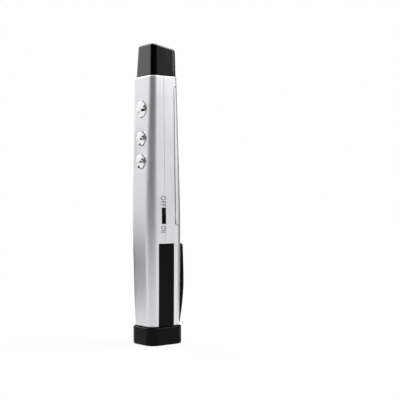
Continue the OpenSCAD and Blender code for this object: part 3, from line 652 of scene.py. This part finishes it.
def mark_edges(work, width):
    """Picks the edges to round: sharp ones that meet no edge too short to take it."""
    weight = work.edges.layers.float.new("bevel_weight_edge")
    for edge in work.edges:
        if len(edge.link_faces) == 2 and abs(edge.calc_face_angle(0)) > math.radians(round_angle):
            near = [e.calc_length() for v in edge.verts for e in v.link_edges]
            edge[weight] = 1.0 if min(near) > least_room * width else 0.0


def soften(obj, width, kind=-1):
    """Rounds the marked edges by width and lets flat faces shade flat.

    The rounding takes material slot kind; at -1 it takes that of the faces beside it.
    """
    bevel = obj.modifiers.new("edges", "BEVEL")
    bevel.material = kind
    bevel.width = width
    bevel.use_clamp_overlap = False
    bevel.segments = 2
    bevel.limit_method = "WEIGHT"
    weighted = obj.modifiers.new("normals", "WEIGHTED_NORMAL")
    weighted.weight = 100
    weighted.keep_sharp = True


def dress(node, width, flat, sharp=28):
    """A copy of a CAD node with soft edges, which stands for it; flat and sharp are in degrees."""
    source = nodes[node]
    mesh = source.data.copy()
    mesh.name = node + "_shell"
    painted = slot_of[node] == "housing_silver"
    if painted:
        mesh.materials.append(raw_plastic_and_gap_shade)
    work = bmesh.new()
    work.from_mesh(mesh)
    bmesh.ops.remove_doubles(work, verts=work.verts, dist=weld_distance)
    for face in work.faces:
        face.smooth = True
        # a face that looks into a gap takes the near-black raw plastic, painted shade for the gap
        if painted and not faces_open(face.calc_center_median(), face.normal):
            face.material_index = 1
    bmesh.ops.dissolve_limit(
        work, angle_limit=math.radians(flat), use_dissolve_boundaries=False, verts=work.verts,
        edges=work.edges, delimit={"MATERIAL"},
    )
    for edge in work.edges:
        edge.smooth = len(edge.link_faces) == 2 and edge.calc_face_angle(0) < math.radians(sharp)
    mark_edges(work, width)
    work.to_mesh(mesh)
    work.free()
    if "custom_normal" in mesh.attributes:
        mesh.attributes.remove(mesh.attributes["custom_normal"])
    shell = new_object(node + "_shell", mesh, source["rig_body"])
    # the door's rounded edges take the near-black raw plastic, not the silver paint: a painted shadow line
    # round the door's gap
    soften(shell, width, 1 if node == "battery_door" else -1)
    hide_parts(node)
    print(shell.name, len(mesh.polygons), "faces")


# edge rounding in mm; the angle in degrees under which neighbouring faces count as one; and, where
# it differs, the angle from which an edge is sharp
for node, values in {
    "front_housing": (0.035, 0.6), "rear_housing": (0.035, 0.6), "battery_door": (0.2, 0.02),
    "nose_cap": (0.12, 0.6), "tail_cap": (0.12, 0.6), "receiver_front_shell": (0.08, 0.05, 8),
    "receiver_rear_shell": (0.08, 0.05, 8), "pocket_clip": (0.25, 0.6), "power_knob": (0.08, 0.6),
    "laser_button": (0.2, 0.6), "page_up_button": (0.2, 0.6), "page_down_button": (0.2, 0.6),
    "usb_shell": (0.09, 0.05), "usb_tongue": (0.12, 0.6),
}.items():
    dress(node, values[0] * mm, *values[1:])

# %% [markdown]
# ## The print beside the switch
#
# The two words are pad-printed: a film of ink a hundredth of a millimetre thick that follows the side
# of the body. Text becomes a mesh, is turned to read down the body, and each of its points is then
# laid on the side by a ray. A decal texture would need an image, and lettering this small would blur.

# %% Print
side = tree_of(["front_housing"])
print_y = (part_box("power_knob")[0][1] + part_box("power_knob")[1][1]) / 2 - 0.25 * mm
side_y = print_y - 2.2 * mm        # the side is flat along Y; here no slot or seam is in the way
outside_x = 0.03                   # clear of the body, where the rays start
ink_lift = 0.012 * mm
cap_height = 3.1 * mm
letter_space = 1.15
letter_bold = 0.02
off_above, off_length = 5.9 * mm, 5.2 * mm     # from the knob's top up to the word's start
on_below, on_length = 4.8 * mm, 3.2 * mm       # from the knob's foot down to the word's start


def side_x(z):
    """How far out the body's side is at height z."""
    return side.ray_cast(Vector((outside_x, side_y, z)), Vector((-1, 0, 0)))[0].x


def print_word(word, top_z, length):
    """word in ink, reading down from top_z, squeezed to its length."""
    curve = bpy.data.curves.new("print_" + word.lower(), "FONT")
    curve.body = word
    curve.space_character = letter_space
    curve.offset = letter_bold
    text = bpy.data.objects.new(curve.name, curve)
    bpy.context.scene.collection.objects.link(text)
    mesh = bpy.data.meshes.new_from_object(text.evaluated_get(bpy.context.evaluated_depsgraph_get()))
    bpy.data.objects.remove(text)
    low = [min(v.co[i] for v in mesh.vertices) for i in (0, 1)]
    high = [max(v.co[i] for v in mesh.vertices) for i in (0, 1)]
    for v in mesh.vertices:
        along = (v.co.x - low[0]) / (high[0] - low[0])
        up = (v.co.y - low[1]) / (high[1] - low[1])
        z = top_z - length * along
        v.co = (side_x(z) + ink_lift, print_y + cap_height * (up - 0.5), z)
    mesh.materials.append(print_grey)
    new_object(curve.name, mesh, "housing")
    print(word, len(mesh.polygons), "faces")


knob_low, knob_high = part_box("power_knob")
print_word("OFF", knob_high[2] + off_above, off_length)
print_word("ON", knob_low[2] - on_below, on_length)

# %% [markdown]
# ## The shield behind the switch
#
# The slot is longer than its knob, so that one could look past the knob at the tinned case. Real
# switches carry a thin black sheet that slides along with the knob and keeps the slot closed; here it
# also paints the shade deep in the slot.

# %% Shield
def block_into(work, low, high, kind):
    """Adds a box to work, with its faces in material slot kind."""
    corners = [
        work.verts.new((x, y, z))
        for z in (low[2], high[2]) for y in (low[1], high[1]) for x in (low[0], high[0])
    ]
    for ids in ((0, 2, 3, 1), (4, 5, 7, 6), (0, 1, 5, 4), (2, 6, 7, 3), (0, 4, 6, 2), (1, 3, 7, 5)):
        work.faces.new([corners[i] for i in ids]).material_index = kind


shield_reach = 0.3 * mm            # how far it goes past the knob and its travel, all round
shield_sides = (0.015 * mm, 0.045 * mm)        # how far its two sides lie from the tinned case
travel = next(j["range_m"][1] for j in frame["record"]["behaviour"]["joints"] if j["name"] == "power_slide")
case_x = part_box("power_switch_case")[1][0]
# the black sheet, which also stands in for the shade in the slot, as painted shade
shade_shield_mesh = bpy.data.meshes.new("switch_shade_shield")
work = bmesh.new()
block_into(
    work, (case_x + shield_sides[0], knob_low[1] - shield_reach, knob_low[2] - travel - shield_reach),
    (case_x + shield_sides[1], knob_high[1] + shield_reach, knob_high[2] + travel + shield_reach), 0,
)
work.to_mesh(shade_shield_mesh)
work.free()
shade_shield_mesh.materials.append(matt_black)
new_object("switch_shade_shield", shade_shield_mesh, "power_knob")
print("shield slides", travel / mm, "mm")

# %% [markdown]
# ## The cell
#
# The solid is two plain cylinders. A real cell is a turned shape: its sleeve shrinks over both
# rims in a small bead, and the steel of the can shows inside them. A profile spun round an axis
# gives that with few faces.


# %% Spinning a profile
spin_steps = 48
spin_sharp = 35            # degrees: corners of the profile sharper than this stay sharp


def spin(name, profile, centre, body, materials):
    """A closed shape of revolution about Z; profile holds (radius, height, material) from below."""
    verts, faces, kinds = [], [], []
    for radius, height, _ in profile:
        for i in range(spin_steps):
            a = 2 * math.pi * i / spin_steps
            verts.append((centre[0] + radius * math.cos(a), centre[1] + radius * math.sin(a), height))
    for ring in range(len(profile) - 1):
        lower, upper = ring * spin_steps, (ring + 1) * spin_steps
        for i in range(spin_steps):
            j = (i + 1) % spin_steps
            faces.append((lower + i, lower + j, upper + j, upper + i))
            kinds.append(profile[ring][2])
    faces += [tuple(reversed(range(spin_steps))), tuple(range(len(verts) - spin_steps, len(verts)))]
    kinds += [profile[0][2], profile[-1][2]]
    mesh = bpy.data.meshes.new(name)
    mesh.from_pydata(verts, [], faces)
    for material in materials:
        mesh.materials.append(material)
    for polygon, kind in zip(mesh.polygons, kinds):
        polygon.material_index = kind
        polygon.use_smooth = True
    mesh.set_sharp_from_angle(angle=math.radians(spin_sharp))
    return new_object(name, mesh, body)


STEEL, SLEEVE, BAND = 0, 1, 2
bead = 0.5 * mm            # radius of the sleeve's two beads
bead_angles = [math.pi * i / 8 for i in range(5)]
rim_step = 0.15 * mm
nub_rise = 0.8 * mm
shoulder_drop = 0.25 * mm
band_low, band_high = 11 * mm, 6 * mm          # down from the tip of the nub


def cell_profile(low, high):
    """The cell from its flat end up: steel rim, beads of the sleeve, shoulder and nub."""
    r = (high[0] - low[0]) / 2
    z0, z1 = low[2], high[2]
    nub_z = z1 - nub_rise
    rows = [(r - 1.3 * mm, z0, STEEL), (r - 1.2 * mm, z0 + rim_step, STEEL)]
    rows.append((r - 0.8 * mm, z0 + rim_step, SLEEVE))
    for a in bead_angles:              # bead at the flat end
        rows.append((r - bead * (1 - math.sin(a)), z0 + bead * (1 - math.cos(a)), SLEEVE))
    rows += [(r, z1 - band_low, BAND), (r, z1 - band_high, SLEEVE)]
    for a in bead_angles:              # bead at the shoulder
        rows.append((r - bead * (1 - math.cos(a)), nub_z - bead * (1 - math.sin(a)), SLEEVE))
    rows += [(r - 0.9 * mm, nub_z - shoulder_drop, STEEL), (2.3 * mm, nub_z - shoulder_drop, STEEL)]
    rows += [(1.9 * mm, nub_z, STEEL), (1.9 * mm, z1 - 0.2 * mm, STEEL), (1.7 * mm, z1, STEEL)]
    return rows


cell_low, cell_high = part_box("battery_cell")
cell_centre = ((cell_low[0] + cell_high[0]) / 2, (cell_low[1] + cell_high[1]) / 2)
cell = spin(
    "cell", cell_profile(cell_low, cell_high), cell_centre, "housing",
    [nickel, sleeve, sleeve_band],
)
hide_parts("battery_cell")
print("cell", [round(c / mm, 2) for c in (cell_high[0] - cell_low[0], cell_high[2] - cell_low[2])], "mm")

# %% [markdown]
# ## Small parts on the boards
#
# Boards carry dozens of parts a millimetre or two long: dark or tan bodies between two tinned ends.
# They are set on a grid, and a place is skipped if the part would come too near to another piece,
# which a search tree for each node tells.

# %% Chip parts
chip_l, chip_w, chip_h = 1.6 * mm, 0.8 * mm, 0.45 * mm
end_l = 0.3 * mm                   # length of a tinned end
end_grow = 0.02 * mm               # how far it stands out from the part's sides
chip_round = 0.04 * mm
solder = 0.01 * mm                 # gap under a part
pitch_x, pitch_z = 2.4 * mm, 3.1 * mm
first_x, first_z = 1.6 * mm, 2.4 * mm          # the first place, from the board's corner
border_x, border_z = 2 * mm, 3 * mm            # what the grid leaves free of the board's size
chip_room = 0.35 * mm              # to any other piece
board_near = 0.2 * mm              # a place counts only with the board's face this near
test_lift = 0.02 * mm              # the tested point lies this far out from the part's middle
all_nodes = {name: tree_of([name]) for name in nodes}


def is_clear(centre, board):
    """Whether a part at centre keeps its room to every node but its board."""
    for name, search in all_nodes.items():
        near = search.find_nearest(centre, chip_l / 2 + chip_room)
        if name != board and near[0] is not None:
            return False
    return True


def chip_parts(name, board, body, normal_y):
    """Rows of chip parts on one face of a board that lies across Y."""
    low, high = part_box(board)
    face_y = high[1] if normal_y > 0 else low[1]
    work = bmesh.new()
    count = 0
    columns = int((high[0] - low[0] - border_x) / pitch_x)
    rows = int((high[2] - low[2] - border_z) / pitch_z)
    for row in range(rows):
        for column in range(columns):
            if (row * 5 + column * 3) % 7 > 3:     # leaves places free, without a plain rhythm
                continue
            x = low[0] + first_x + column * pitch_x
            z = low[2] + first_z + row * pitch_z
            centre = Vector((x, face_y + normal_y * (chip_h / 2 + test_lift), z))
            on_board = all_nodes[board].find_nearest(Vector((x, face_y, z)), board_near)[0]
            if on_board is None or not is_clear(centre, board):
                continue
            y0, y1 = sorted((face_y + normal_y * solder, face_y + normal_y * chip_h))
            half = chip_l / 2
            for z0, z1, kind, grow in (
                (z - half, z - half + end_l, 0, end_grow),
                (z - half + end_l, z + half - end_l, 1 + count % 2, 0),
                (z + half - end_l, z + half, 0, end_grow),
            ):
                block_into(work, (x - chip_w / 2 - grow, y0, z0), (x + chip_w / 2 + grow, y1, z1), kind)
            count += 1
    mesh = bpy.data.meshes.new(name)
    mark_edges(work, chip_round)
    work.to_mesh(mesh)
    work.free()
    for material in (tin, package, dark_tan):
        mesh.materials.append(material)
    soften(new_object(name, mesh, body), chip_round)
    print(name, count, "parts")


chip_parts("main_board_parts", "main_board", "housing", -1)
chip_parts("receiver_board_parts", "receiver_board", "receiver", -1)
